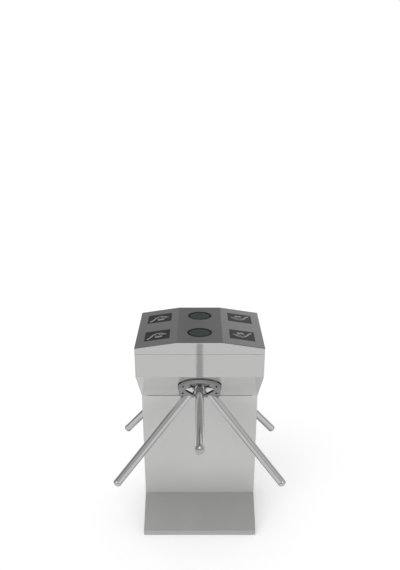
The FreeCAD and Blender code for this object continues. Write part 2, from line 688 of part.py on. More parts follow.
def hub_bolts(side):
    """Frame, length and name of each hub bolt, with its z axis out of its head."""
    long = S.lobe_front - S.hub_gap
    bolts = []
    for arm, angle in ARM_ANGLES.items():
        across = math.copysign(1, angle) * S.hub_bolt_x
        face = HUBS[side].multiply(shift(across, S.hub_bolt_y, S.lobe_front - S.hub_bolt_sunk))
        bolts.append((face, long - S.hub_bolt_sunk, f"{side}_hub_{arm}_face"))
        lean = math.copysign(CLAMP_BOLT_ANGLE, angle)
        height = S.hub_front + S.clamp_bolt_rise
        rim = turned_hub(side, lean).multiply(shift(0, S.hub_radius - S.hub_bolt_sunk, height, Z_TO_Y))
        bolts.append((rim, S.clamp_bolt_length, f"{side}_hub_{arm}_rim"))
    return bolts


def upper_part(angle, low):
    """Span across an arm, from a distance below its axis to the rim above it."""
    far = S.hub_radius + OVERCUT
    return (-far, sized(low)) if angle > 0 else (-sized(low), far)


def make_jaw(name, place, angle):
    """Upper half of a clamp block, with a face that leans in towards the middle of the hub."""
    low, far = S.hub_front - S.hub_sink, S.hub_radius + OVERCUT
    start, end = upper_part(angle, -S.jaw_low)
    outline = [(S.jaw_spread - S.jaw_inset, low), (-far, low),
               (-far, S.lobe_front), (-S.jaw_inset, S.lobe_front)]
    return prism(name, outline, end - start, place.multiply(shift(end, turn=ALONG_X)))


def make_lobes(name, side):
    """Two clamp blocks that hold the fixed arms, cut from one thick disc."""
    low, far = S.hub_front - S.hub_sink, S.hub_radius + OVERCUT
    disc = rod(name + "_lobe_disc", S.hub_radius, low, S.lobe_front, HUBS[side])
    pieces = []
    for arm, angle in ARM_ANGLES.items():
        place = turned_hub(side, angle)
        pieces.append(block(f"{name}_{arm}_socket_half", upper_part(angle, S.lobe_low), (S.lobe_inset, far),
                            (low, S.lobe_front), place))
        pieces.append(make_jaw(f"{name}_{arm}_jaw", place, angle))
    return overlap(name + "_lobes", disc, fuse(name + "_halves", *pieces))


def make_slit(name, side, arm, angle):
    """Slit beside an arm's socket, open at the rim, so that the clamp bolt can close it."""
    span, across = upper_part(angle, -S.jaw_low), (S.slit_inset, S.slit_inset + S.slit_width)
    deep = (S.lobe_front - S.slit_depth, S.lobe_front + OVERCUT)
    return block(f"{name}_{arm}_slit", span, across, deep, turned_hub(side, angle))


def make_hub(side):
    """Hub base, hub with its clamp blocks and drop-arm ears, and the bolts in the blocks."""
    hub = HUBS[side]
    bolts = hub_bolts(side)
    hole_radius, head_room = S.hub_bolt_radius + S.bolt_play, S.hub_bolt_head + S.hub_bolt_head_play
    shank_room = [rod(mark + "_hole", hole_radius, -length, sized(OVERCUT), place)
                  for place, length, mark in bolts]
    base_room = [rod(mark + "_base_hole", hole_radius, -length - OVERCUT, sized(OVERCUT), place)
                 for place, length, mark in bolts if mark.endswith("face")]
    base = f"{side}_hub_base"
    plain_base = rod(base + "_disc", S.hub_base_radius, S.hub_gap, S.hub_base_front, hub)
    keep(base, cut(base, plain_base, *base_room))

    name = f"{side}_hub"
    disc = rod(name + "_disc", S.hub_radius, S.hub_base_front, S.hub_front, hub)
    boss = make_boss(name + "_boss", hub)
    pivot = drop_pivot(side)
    slot, wide = S.tongue_half + S.drop_play, S.tube_radius + S.drop_play
    ear, ear_room = slot + S.ear_thick, S.ear_radius + OVERCUT
    pivot_y, pivot_z = S.pivot_reach * cone[0], S.pivot_reach * cone[1] - S.apex_inset
    stand = block(name + "_ear_stand", (-ear, ear), (pivot_y - S.ear_radius, pivot_y + S.ear_radius),
                  (S.hub_front - S.hub_sink, pivot_z), hub)
    round_ear = rod(name + "_ear_round", S.ear_radius, -ear, ear, pivot)
    floor = S.hub_front + S.drop_play / 2
    tongue_room = block(name + "_tongue_room", (-slot, slot), (pivot_y - ear_room, pivot_y + ear_room),
                        (floor, pivot_z + ear_room), hub)
    lean = Rotation(Vector(1, 0, 0), 90 - math.degrees(tilt))
    drop_room = block(name + "_drop_room", (-wide, wide), (-wide, wide),
                      (S.tube_start - S.drop_play, S.swing_room),
                      hub.multiply(shift(0, pivot_y, pivot_z, lean)))
    groove = block(name + "_groove", (-S.boss_groove_half, S.boss_groove_half),
                   (S.boss_groove_y, S.boss_groove_y + S.boss_groove_width),
                   (S.boss_front - S.boss_groove_depth, S.boss_front + OVERCUT), hub)
    cuts = [tongue_room, drop_room, groove,
            rod(name + "_pin_hole", S.drop_pin_radius + S.socket_play, -ear - OVERCUT,
                ear + OVERCUT, pivot)]
    for arm, angle in ARM_ANGLES.items():
        cuts.append(rod(f"{name}_{arm}_socket", S.tube_radius + S.socket_play, S.arm_root, S.swing_room,
                        arm_frame(side, angle)))
        cuts.append(make_slit(name, side, arm, angle))
    heads = [rod(mark + "_counterbore", head_room, -S.hub_bolt_head_thick, sized(OVERCUT), place)
             for place, length, mark in bolts]
    blank = fuse(name + "_blank", disc, boss, stand, round_ear, make_lobes(name, side))
    keep(name, cut(name, blank, *cuts, *heads, *shank_room))

    screws = []
    for place, length, mark in bolts:
        head = rod(mark + "_head", S.hub_bolt_head, -S.hub_bolt_head_thick, sized(0), place)
        shank = rod(mark + "_shank", S.hub_bolt_radius, -length, -S.hub_bolt_head_thick, place)
        screws.append(fuse(mark + "_bolt", head, shank))
    keep(f"{side}_hub_bolts", group(f"{side}_hub_bolts", *screws))


def make_arms(side):
    """Two fixed arms, and the drop arm with its tongue, eye and pin."""
    for arm, angle in ARM_ANGLES.items():
        name = f"{side}_{arm}_arm"
        keep(name, turned(name, arm_profile(S.arm_root), arm_frame(side, angle), arc_edge=1))
    name = f"{side}_drop_arm"
    start = S.pivot_reach + S.tube_start
    tube = turned(name + "_tube", arm_profile(start, S.tube_radius), arm_frame(side, 0), arc_edge=1)
    tongue = block(name + "_tongue", (-S.tongue_half, S.tongue_half),
                   (-S.tongue_half_height, S.tongue_half_height), (S.pivot_reach, start + S.tube_wall),
                   arm_frame(side, 0))
    pivot = drop_pivot(side)
    eye = rod(name + "_eye", S.eye_radius, -S.tongue_half, S.tongue_half, pivot)
    ear = S.tongue_half + S.drop_play + S.ear_thick
    bore = rod(name + "_bore", S.drop_pin_radius + S.pin_play, -ear, ear, pivot)
    keep(name, cut(name, fuse(name + "_blank", tube, tongue, eye), bore))
    pin = f"{side}_drop_arm_pin"
    keep(pin, rod(pin, S.drop_pin_radius, -ear, ear, pivot))


def make_shaft(side):
    """Main shaft with its flange, and the locking disc on it."""
    name = f"{side}_main_shaft"
    keep(name, turned(name, [
        (0, S.hub_gap), (S.shaft_flange_radius, S.hub_gap), (S.shaft_flange_radius, -S.shaft_flange_depth),
        (S.shaft_radius, -S.shaft_flange_depth), (S.shaft_radius, -S.shaft_end), (0, -S.shaft_end),
    ], HUBS[side]))
    name = f"{side}_locking_disc"
    near, far = -S.disc_near, -S.disc_far
    blank = turned(name + "_blank", [
        (S.bearing_bore, far - S.disc_hub_side), (S.disc_hub_radius, far - S.disc_hub_side),
        (S.disc_hub_radius, far), (S.disc_radius, far), (S.disc_radius, near), (S.disc_hub_radius, near),
        (S.disc_hub_radius, near + S.disc_hub_side), (S.bearing_bore, near + S.disc_hub_side),
    ], HUBS[side])
    half = S.notch_width / 2
    notches = []
    count = int(S.notch_count.value)
    for number in range(count):
        spin = Placement(Vector(), Rotation(Vector(0, 0, 1), 360 / count * number))
        notches.append(block(f"{name}_notch_{number}", (-half, half),
                             (S.disc_radius - S.notch_depth, S.disc_radius + OVERCUT),
                             (far - OVERCUT, near + OVERCUT), HUBS[side].multiply(spin)))
    keep(name, cut(name, blank, *notches))


def make_seat(side):
    """Mechanism plate under the fascia, with the bearing housing bolted to it; returns its two bearings."""
    name = f"{side}_mechanism_plate"
    x, y = S.gusset_x, S.plate_half_height
    holes = [(0, 0, S.seat_radius)]
    across = S.gusset_x - S.tab_length / 2
    for a, b in both_signs():
        holes.append((a * across, b * S.tab_y, S.mount_bolt_radius))
    inner = -S.sheet - S.plate_thick
    keep(name, prism(name, mirrored([(x, -y), (x, y)]), S.plate_thick,
                     HUBS[side].multiply(shift(z=inner)), holes))
    name = f"{side}_bearing_housing"
    step = inner - S.housing_flange_thick
    keep(name, turned(name, [
        (S.housing_bore, inner), (S.housing_flange, inner), (S.housing_flange, step),
        (S.housing_radius, step), (S.housing_radius, -S.housing_end), (S.housing_bore, -S.housing_end),
    ], HUBS[side]))
    bearings = []
    for mark, low in (("outer", inner - S.bearing_inset - S.bearing_width),
                      ("inner", S.bearing_inset - S.housing_end)):
        high = low + S.bearing_width
        bearings.append(turned(f"{side}_{mark}_bearing", [
            (S.bearing_bore, low), (S.bearing_radius, low),
            (S.bearing_radius, high), (S.bearing_bore, high),
        ], HUBS[side]))
    return bearings


def make_damper(side):
    """Rotary damper on the shaft's tail, carried by a bridge on two posts."""
    hub = HUBS[side]
    name = f"{side}_damper"
    inner = -S.sheet - S.plate_thick
    can = rod(name + "_can", S.damper_radius, -S.damper_far, -S.damper_near, hub)
    bridge = block(name + "_bridge", (-S.bridge_half, S.bridge_half),
                   (-S.bridge_half_width, S.bridge_half_width),
                   (-S.damper_near - S.bridge_thick, -S.damper_near), hub)
    posts = [rod(f"{name}_post_{'left' if a < 0 else 'right'}", S.post_radius, -S.damper_near, inner,
                 hub.multiply(shift(a * S.post_x))) for a in (-1, 1)]
    bore = rod(name + "_bore", S.shaft_radius + S.damper_play, -S.damper_far - OVERCUT,
               -S.damper_near + OVERCUT, hub)
    return cut(name, fuse(name + "_blank", can, bridge, *posts), bore)


def make_pawl(side):
    """Locking pawl on its pivot; returns the pivot and the spring round it."""
    hub = HUBS[side]
    name = f"{side}_pawl"
    near, far = -S.disc_near, -S.disc_far
    left, right = S.pivot_x - S.pawl_belly_half, S.pivot_x + S.pawl_belly_half
    outline = [
        (-S.tooth_half, S.tooth_tip), (S.tooth_half, S.tooth_tip), (S.tooth_half, S.tooth_root),
        (left, S.pawl_belly), (right, S.pawl_belly), (S.pivot_x + S.pawl_step, S.pawl_under),
        (S.pawl_tail, S.pawl_under), (S.pawl_tail, S.pawl_over), (S.pivot_x, S.pawl_crown),
        (-S.tooth_half, S.pawl_back),
    ]
    hole = (S.pivot_x, S.pivot_y, S.pivot_radius + S.pin_play)
    keep(name, prism(name, outline, far * -1 + near, hub.multiply(shift(z=far)), [hole]))
    pin = hub.multiply(shift(S.pivot_x, S.pivot_y))
    inner = -S.sheet - S.plate_thick
    collar = far - S.pawl_gap
    post = rod(name + "_post", S.pivot_radius, collar - S.pivot_collar_thick, inner, pin)
    cap = rod(name + "_collar", S.pivot_collar, collar - S.pivot_collar_thick, collar, pin)
    coil = rod(name + "_coil", S.spring_outer, near + S.pawl_gap, inner, pin)
    room = rod(name + "_coil_room", S.spring_inner, near - OVERCUT, inner + OVERCUT, pin)
    return fuse(name + "_pivot", post, cap), cut(name + "_spring", coil, room)


def make_solenoid(side):
    """Plunger that lifts the pawl's tail; returns the solenoid and its bracket."""
    hub = HUBS[side]
    middle = -(S.disc_near + S.disc_far) / 2
    axis = hub.multiply(shift(S.plunger_x, 0, middle, Z_TO_Y))
    name = f"{side}_plunger"
    keep(name, rod(name, S.plunger_radius, S.plunger_low, S.pawl_under - S.plunger_gap, axis))
    x = (S.plunger_x - S.solenoid_half, S.plunger_x + S.solenoid_half)
    deep = middle - S.solenoid_half_depth
    name = f"{side}_solenoid"
    can = block(name + "_can", x, (S.solenoid_low, S.solenoid_high),
                (deep, middle + S.solenoid_half_depth), hub)
    bracket = block(name + "_bracket", x, (S.solenoid_low, S.solenoid_low + S.solenoid_wall),
                    (deep, -S.sheet - S.plate_thick), hub)
    bore = rod(name + "_bore", S.plunger_radius + S.plunger_play, S.plunger_low - S.plunger_room,
               S.solenoid_high + OVERCUT, axis)
    return cut(name, fuse(name + "_blank", can, bracket), bore)


def make_mechanisms():
    """Both mechanisms; pieces that are alike and never move share a node."""
    shared = {"bearings": [], "dampers": [], "pawl_pivots": [], "pawl_springs": [], "solenoids": []}
    for side in HUBS:
        make_hub(side)
        make_arms(side)
        make_shaft(side)
        shared["bearings"] += make_seat(side)
        shared["dampers"].append(make_damper(side))
        pivot, spring = make_pawl(side)
        shared["pawl_pivots"].append(pivot)
        shared["pawl_springs"].append(spring)
        shared["solenoids"].append(make_solenoid(side))
    for label, pieces in shared.items():
        keep(label, group(label, *pieces))


def check_document():
    """Stop if any object failed or any sub-part is empty or unsound."""
    for item in doc.Objects:
        if any(word in item.State for word in ("Invalid", "Error")):
            raise RuntimeError(f"{item.Label} failed: {item.State}")
    for label, item in nodes.items():
        if item.Shape.isNull() or not item.Shape.isValid() or not item.Shape.Solids:
            raise RuntimeError(f"{label} has no sound shape")


make_base()
for face in TURNS:
    make_foot(face)
    make_fascia(face)
make_column()
lock_hole = make_lock()
make_cheek("right_head_cheek", TURNS["front"], [lock_hole])
make_cheek("left_head_cheek", TURNS["rear"], [])
make_lid()
make_hinge()
make_gussets()
make_electronics()
make_mechanisms()
doc.recompute()
check_document()
os.makedirs("parts", exist_ok=True)
for label, item in nodes.items():
    item.Shape.exportStep(f"parts/{label}.step")
    print(label, len(item.Shape.Solids), round(item.Shape.Volume))
print("nodes", len(nodes))
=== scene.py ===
import json
import math

import bmesh
import bpy
from mathutils import Matrix, Vector


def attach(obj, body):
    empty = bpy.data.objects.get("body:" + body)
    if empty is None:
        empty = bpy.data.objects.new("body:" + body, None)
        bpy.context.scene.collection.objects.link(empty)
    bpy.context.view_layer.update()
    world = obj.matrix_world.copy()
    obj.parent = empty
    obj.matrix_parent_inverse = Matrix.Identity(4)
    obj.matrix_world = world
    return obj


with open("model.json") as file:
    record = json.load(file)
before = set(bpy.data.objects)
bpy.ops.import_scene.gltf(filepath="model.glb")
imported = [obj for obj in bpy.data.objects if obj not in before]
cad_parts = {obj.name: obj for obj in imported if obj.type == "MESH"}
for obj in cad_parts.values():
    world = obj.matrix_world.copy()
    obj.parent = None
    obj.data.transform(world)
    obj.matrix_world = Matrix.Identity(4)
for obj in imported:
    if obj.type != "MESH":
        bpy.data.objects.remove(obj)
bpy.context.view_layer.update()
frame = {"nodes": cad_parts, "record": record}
scene = bpy.context.scene

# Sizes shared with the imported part, in metres
HEAD_HALF, FOLD_HALF = 0.280, 0.099
LID_FOLD, LID_CORNER = 1.015, 0.988
LID_LEAN = math.atan2(LID_FOLD - LID_CORNER, HEAD_HALF - FOLD_HALF)
WINDOW_X, WINDOW_Y, WINDOW_HALF = 0.187, 0.111, 0.056
WINDOW_HEIGHT = LID_FOLD - (WINDOW_X - FOLD_HALF) * math.tan(LID_LEAN)
COLUMN_FACE, COLUMN_TOP = 0.048, 0.676
LOCK_FACE = Vector((0.28360, -0.150, 0.933))
# Undersides of the lid's boards: from a window's face, and above the floor
READER_UNDER, INDICATOR_UNDER = -0.01095, 1.004

# The rear tripod is the front one's twin, turned by half a turn, and the lid's ends lie along y
SIDES = {"front": Matrix.Identity(4), "rear": Matrix.Rotation(math.pi, 4, "Z")}
ENDS = {"front": -1, "rear": 1}

# The front hub: its frame has z out along the turning axis and y up the hub's face
SETBACK, DROP = 0.182, 0.176
TILT = math.atan2(SETBACK, DROP)
HUB_CENTRE = Vector((0, -0.144815, 0.769624))
HUB_FRAME = Matrix.Translation(HUB_CENTRE) @ Matrix.Rotation(math.pi / 2 + TILT, 4, "X")
HUB_RADIUS, LOBE_FRONT = 0.094, 0.041
BOLT_X, BOLT_Y = 0.075, 0.024
RIM_BOLT_Z, RIM_BOLT_ANGLE = 0.023, math.radians(52)
SLIT_START, SLIT_END, SLIT_FLOOR = 0.0242, 0.0900, 0.0210
# Rise and run of the clamp blocks' leaning faces
BLOCK_RISE, BLOCK_RUN = 0.026, 0.014
# The arms' axes meet behind the hub's centre
APEX_INSET, ARM_SHOULDER = 0.027, 0.6165
ARM_ANGLES = {"drop": 0, "right": 120, "left": -120}
# The side of each fixed arm, along x with y along that arm, on which the level arm lies
FIXED_ARMS = {"right": -1, "left": 1}

# Colours and grains, and painted light and shade by the surface's height or by how far it turns up
STEEL, MATT_STEEL, FOOT_STEEL = (0.545, 0.545, 0.54), (0.60, 0.60, 0.595), (0.335, 0.335, 0.332)
CAST, POLISHED = (0.30, 0.30, 0.30), (0.76, 0.76, 0.76)
LEVEL_GRAIN, FINE_GRAIN = (6, 6, 900), (500, 500, 500)
# Painted light: faces of the satin steel that turn down are made lighter, as if lit from below
UNDERSIDE_PAINTED_LIGHT = ("Normal", ((-0.5, 1.36), (-0.2, 1.0)))
# Painted light: the upright faces of the foot are made lighter than its slope
UPRIGHT_PAINTED_LIGHT = ("Normal", ((0.15, 1.35), (0.4, 1.0)))
# Painted light and shade on the column: darker towards the foot, and lighter at the top, where the head's
# shadow falls
COLUMN_PAINTED_LIGHT_AND_SHADE = ("Object", ((0.12, 0.84), (0.3, 0.98), (0.55, 1.0), (0.62, 1.02), (0.676, 1.14)))

# Noise: the range it fills, and how far it varies roughness by lines, marks, grain and clouds
NOISE_LOW, NOISE_HIGH = 0.3, 0.7
MARK_GRAIN, CLOUD_GRAIN = (5, 5, 5), (9, 9, 9)
LINE_SPREAD, MARK_LOW, MARK_HIGH = 0.15, -0.15, 0.2
GRAIN_SPREAD, CLOUD_SPREAD, CLOUD_CONTRAST = 0.02, 0.01, 0.06
LINE_DEPTH, GRAIN_DEPTH = 0.0001, 0.00008

# Hub: polish by how far a face turns to the front, from cast to polished, and painted shade in crevices
HUB_LEAN = ((0.08, 0), (0.16, 1), (0.9, 1), (0.96, 0))
HUB_METALLIC, HUB_ROUGH = (0.3, 1.0), (0.5, 0.15)
CAST_CONTRAST, POLISHED_CONTRAST, HUB_RELIEF, HUB_EDGE = 0.04, 0.03, 0.05, 0.0006
# Painted shade in crevices: its reach, the ramp from deep to open, and its darkest level
CREVICE_REACH, CREVICE_DEEP, CREVICE_OPEN, CREVICE_LEVEL = 0.022, 0.25, 0.7, 0.02

# Lens: unlit lamps in rows, from a lamp's middle to the gaps between lamps
LAMP_GRID = (170, 170, 0.01)
LAMP_COLOURS = ((0.22, (0.048, 0.066, 0.053)), (0.36, (0.028, 0.040, 0.032)))
LENS_ROUGH, LENS_GRAIN = (0.18, 0.28), (40, 40, 40)

# Circuit boards: laminate between tracks
BOARD_PATTERN = {
    "Scale": 1.0, "Mortar Size": 0.06, "Color1": (0.015, 0.090, 0.035, 1), "Color2": (0.012, 0.070, 0.030, 1),
    "Mortar": (0.050, 0.170, 0.070, 1),
}
BOARD_GRID, BOARD_GRAIN, BOARD_ROUGH = (120, 120, 120), (60, 60, 60), (0.3, 0.5)

# Sockets of the shader by short names, and places of the colour sockets on a mix node
SOCKETS = {"metallic": "Metallic", "roughness": "Roughness", "specular": "Specular IOR Level"}
MIX_FIRST, MIX_SECOND, MIX_RESULT = 6, 7, 2


# Materials
def grey(level):
    """A colour with one level in all its channels."""
    return (level,) * 3


def tint(colour, factor):
    """A colour made lighter or darker."""
    return tuple(channel * factor for channel in colour)


class Nodes:
    """A node tree with short calls for its nodes."""

    def __init__(self, data):
        self.data = data
        self.data.use_nodes = True
        self.tree = self.data.node_tree
        self.tree.nodes.clear()

    def node(self, kind, **settings):
        made = self.tree.nodes.new(kind)
        for key, value in settings.items():
            setattr(made, key, value)
        return made

    def link(self, start, end):
        self.tree.links.new(start, end)

    def feed(self, socket, value):
        """Set a socket to a number or a colour, or link it."""
        if isinstance(value, (int, float, tuple)):
            socket.default_value = value
        else:
            self.link(value, socket)

    def math(self, how, first, second):
        made = self.node("ShaderNodeMath", operation=how)
        for socket, value in zip(made.inputs, (first, second)):
            self.feed(socket, value)
        return made.outputs[0]

    def spread(self, value, low, high, start=NOISE_LOW, end=NOISE_HIGH):
        """Map a value to a range."""
        made = self.node("ShaderNodeMapRange")
        for name, number in (("From Min", start), ("From Max", end), ("To Min", low), ("To Max", high)):
            made.inputs[name].default_value = number
        self.link(value, made.inputs["Value"])
        return made.outputs[0]

    def mix(self, factor, first, second, how="MIX"):
        """Two colours mixed by a factor."""
        made = self.node("ShaderNodeMix", data_type="RGBA", blend_type=how)
        for key, value in (("Factor", factor), (MIX_FIRST, first), (MIX_SECOND, second)):
            self.feed(made.inputs[key], value)
        return made.outputs[MIX_RESULT]

    def ramp(self, value, *stops):
        """Colour by a value: stops are (position, colour)."""
        made = self.node("ShaderNodeValToRGB")
        elements = made.color_ramp.elements
        while len(elements) < len(stops):
            elements.new(0.5)
        for element, (position, colour) in zip(elements, stops):
            element.position = position
            element.color = (*colour, 1)
        self.link(value, made.inputs[0])
        return made.outputs[0]

    def greys(self, value, stops):
        """Grey levels by a value from -1 to 1: stops are (value, level)."""
        return self.ramp(self.spread(value, 0, 1, -1, 1),
                         *(((place + 1) / 2, grey(level)) for place, level in stops))

    def part_of(self, output, axis):
        """One part of the coordinates or the normal."""
        coords = self.node("ShaderNodeTexCoord")
        parts = self.node("ShaderNodeSeparateXYZ")
        self.link(coords.outputs[output], parts.inputs[0])
        return parts.outputs[axis]


class Material(Nodes):
    """A node material with one shader."""

    def __init__(self, name):
        super().__init__(bpy.data.materials.new(name))
        self.shader = self.node("ShaderNodeBsdfPrincipled")
        output = self.node("ShaderNodeOutputMaterial")
        self.link(self.shader.outputs[0], output.inputs["Surface"])

    def set(self, **values):
        for key, value in values.items():
            self.shader.inputs[SOCKETS[key]].default_value = value
        return self

    def place(self, scale):
        """Object coordinates, stretched."""
        coords = self.node("ShaderNodeTexCoord")
        mapping = self.node("ShaderNodeMapping")
        mapping.inputs["Scale"].default_value = scale
        self.link(coords.outputs["Object"], mapping.inputs["Vector"])
        return mapping.outputs[0]

    def noise(self, scale, detail=3.0, rough=0.55):
        """Noise with one scale for each axis."""
        made = self.node("ShaderNodeTexNoise")
        made.inputs["Scale"].default_value = 1.0
        made.inputs["Detail"].default_value = detail
        made.inputs["Roughness"].default_value = rough
        self.link(self.place(scale), made.inputs["Vector"])
        return made.outputs[0]

    def vary(self, noise, colour, contrast):
        """A colour made darker and lighter by noise."""
        return self.ramp(noise, (NOISE_LOW, tint(colour, 1 - contrast)),
                         (NOISE_HIGH, tint(colour, 1 + contrast)))

    def paint_crevice_shade(self, colour, distance):
        """A colour that goes dark in crevices: painted shade."""
        depth = self.node("ShaderNodeAmbientOcclusion", samples=8, only_local=True)
        depth.inputs["Distance"].default_value = distance
        shade = self.ramp(depth.outputs["AO"], (CREVICE_DEEP, grey(CREVICE_LEVEL)), (CREVICE_OPEN, grey(1.0)))
        return self.mix(1.0, colour, shade, "MULTIPLY")

    def colour(self, socket):
        self.link(socket, self.shader.inputs["Base Color"])

    def roughness(self, socket):
        self.link(socket, self.shader.inputs["Roughness"])

    def relief(self, height, strength, depth, edge):
        """Bump, over edges that look rounded by a radius where one is given."""
        bump = self.node("ShaderNodeBump")
        bump.inputs["Strength"].default_value = strength
        bump.inputs["Distance"].default_value = depth
        self.link(height, bump.inputs["Height"])
        if edge:
            bevel = self.node("ShaderNodeBevel", samples=4)
            bevel.inputs["Radius"].default_value = edge
            self.link(bevel.outputs[0], bump.inputs["Normal"])
        self.link(bump.outputs[0], self.shader.inputs["Normal"])


def brushed(name, colour, metallic, rough, grain=FINE_GRAIN, edge=0.0, contrast=0.05, relief=0.06,
            shade=None):
    """Metal with fine lines along the axes whose grain scale is small, and faint handling marks.

    A shade is (output, stops): painted light and shade, levels by the height or the upward turn of the
    surface.
    """
    made = Material(name).set(metallic=metallic)
    lines = made.noise(grain, detail=4.0, rough=0.7)
    marks = made.noise(MARK_GRAIN, detail=5.0)
    plain = made.vary(lines, colour, contrast)
    # Painted light and shade: the colour is multiplied by levels by height or by the normal
    if shade:
        output, stops = shade
        plain = made.mix(1.0, plain, made.greys(made.part_of(output, "Z"), stops), "MULTIPLY")
    made.colour(plain)
    base = made.spread(lines, rough * (1 - LINE_SPREAD), rough * (1 + LINE_SPREAD))
    made.roughness(made.math("ADD", base, made.spread(marks, MARK_LOW * rough, MARK_HIGH * rough)))
    made.relief(lines, relief, LINE_DEPTH, edge)
    return made.data


def moulded(name, colour, rough, relief, grain=900.0, edge=0.0, specular=0.4):
    """Plastic, rubber or paint with a fine moulded grain and slight clouding."""
    made = Material(name).set(specular=specular)
    fine = made.noise((grain,) * 3, detail=2.0)
    broad = made.noise(CLOUD_GRAIN, detail=4.0)
    made.colour(made.vary(broad, colour, CLOUD_CONTRAST))
    base = made.spread(fine, rough * (1 - GRAIN_SPREAD), rough * (1 + GRAIN_SPREAD))
    made.roughness(made.math("ADD", base, made.spread(broad, -CLOUD_SPREAD, CLOUD_SPREAD)))
    made.relief(fine, relief, GRAIN_DEPTH, edge)
    return made.data


def hub_material():
    """Grey cast metal, polished where a face leans, and dark in its crevices by painted shade."""
    made = Material("hub_metal")
    axis = made.math("MULTIPLY", made.part_of("Normal", "Y"), math.sin(TILT))
    outward = made.math("MULTIPLY", axis, made.math("SIGN", made.part_of("Object", "Y"), 0))
    upward = made.math("MULTIPLY", made.part_of("Normal", "Z"), math.cos(TILT))
    front = made.math("SUBTRACT", outward, upward)
    leans = made.ramp(front, *((place, grey(level)) for place, level in HUB_LEAN))
    fine = made.noise(FINE_GRAIN, detail=4.0)
    cast = made.vary(fine, CAST, CAST_CONTRAST)
    bright = made.vary(fine, POLISHED, POLISHED_CONTRAST)
    made.colour(made.paint_crevice_shade(made.mix(leans, cast, bright), CREVICE_REACH))
    made.link(made.spread(leans, *HUB_METALLIC, 0, 1), made.shader.inputs["Metallic"])
    made.roughness(made.spread(leans, *HUB_ROUGH, 0, 1))
    made.relief(fine, HUB_RELIEF, LINE_DEPTH, HUB_EDGE)
    return made.data


def lens_material():
    """Dark green lens over a fine grid of unlit lamps."""
    made = Material("lens").set(specular=0.06)
    cells = made.node("ShaderNodeTexVoronoi", feature="F1")
    cells.inputs["Scale"].default_value = 1.0
    cells.inputs["Randomness"].default_value = 0.0
    made.link(made.place(LAMP_GRID), cells.inputs["Vector"])
    made.colour(made.ramp(cells.outputs["Distance"], *LAMP_COLOURS))
    made.roughness(made.spread(made.noise(LENS_GRAIN), *LENS_ROUGH))
    return made.data


def board_material():
    """Circuit laminate with copper tracks under green lacquer."""
    made = Material("laminate").set(specular=0.5)
    tracks = made.node("ShaderNodeTexBrick")
    for name, value in BOARD_PATTERN.items():
        tracks.inputs[name].default_value = value
    made.link(made.place(BOARD_GRID), tracks.inputs["Vector"])
    made.colour(tracks.outputs["Color"])
    made.roughness(made.spread(made.noise(BOARD_GRAIN), *BOARD_ROUGH))
    return made.data


SHEET = {"grain": LEVEL_GRAIN, "edge": 0.0012, "contrast": 0.02}
TUBE = {"metallic": 1.0, "rough": 0.10, "contrast": 0.03, "relief": 0.02}
# The satin steel, the column and the foot carry painted light and shade by their normal or height
materials = {
    "body_steel": brushed("satin_steel", STEEL, metallic=0.70, rough=0.06, relief=0.01, shade=UNDERSIDE_PAINTED_LIGHT,
                          **SHEET),
    "column_steel": brushed("matt_steel", MATT_STEEL, metallic=0.45, rough=0.5, relief=0.02,
                            shade=COLUMN_PAINTED_LIGHT_AND_SHADE, **SHEET),
    "foot_steel": brushed("foot_steel", FOOT_STEEL, metallic=0.45, rough=0.5, relief=0.02, shade=UPRIGHT_PAINTED_LIGHT,
                          **SHEET),
    "frame_steel": brushed("zinc_plate", (0.42, 0.43, 0.44), metallic=0.8, rough=0.42, grain=(30, 30, 30),
                           contrast=0.14),
    "machined_steel": brushed("ground_steel", (0.55, 0.55, 0.55), metallic=1.0, rough=0.24),
    "bolt_steel": moulded("black_steel", (0.022, 0.022, 0.023), rough=0.45, relief=0.1, grain=500.0,
                          specular=0.1),
    "arm_steel": brushed("polished_tube", (0.60, 0.60, 0.60), **TUBE),
    "hub_metal": hub_material(),
    "cast_aluminium": brushed("cast_metal", (0.50, 0.51, 0.52), metallic=0.9, rough=0.5,
                              grain=(260, 260, 260), contrast=0.12, relief=0.3),
    "lock_metal": brushed("plated_lock", (0.62, 0.62, 0.63), metallic=1.0, rough=0.15, contrast=0.04),
    "lid_panel": moulded("lid_panel", (0.107, 0.107, 0.108), rough=0.3, relief=0.03, grain=700.0, edge=0.0008,
                         specular=0.15),
    "reader_window": moulded("reader_window", (0.023, 0.023, 0.024), rough=0.3, relief=0.03, grain=300.0,
                             specular=0.02),
    "indicator_ring": moulded("indicator_ring", (0.008, 0.008, 0.009), rough=0.35, relief=0.1, specular=0.05),
    "indicator_lens": lens_material(),
    "circuit_board": board_material(),
    "black_housing": moulded("black_housing", (0.030, 0.030, 0.032), rough=0.45, relief=0.3, grain=500.0),
}
for entry in frame["record"]["subparts"]:
    mesh = frame["nodes"][entry["node"]].data
    mesh.materials.clear()
    mesh.materials.append(materials[entry["material_slot"]])

# Materials of the scene's own pieces
pictogram_print = moulded("pictogram_print", grey(0.28), rough=0.5, relief=0.05, grain=1200.0, specular=0.1)
# Painted shade: a darker copy of the tube steel for the drop arm's cap
shaded_cap_steel = brushed("shaded_cap_steel", grey(0.48), **TUBE)
# Painted shade: black for the keyway's slot
keyway_shade_black = moulded("keyway_shade_black", grey(0.012), rough=0.6, relief=0.2)
# Painted shadow: a dark line where the head meets the column
fold_shadow_paint = moulded("fold_shadow_paint", grey(0.06), rough=0.6, relief=0.2)
# Painted shade: black for the slits of the hub and the gap behind its rim
gap_shade_black = moulded("gap_shade_black", grey(0.004), rough=0.7, relief=0.2, specular=0.03)


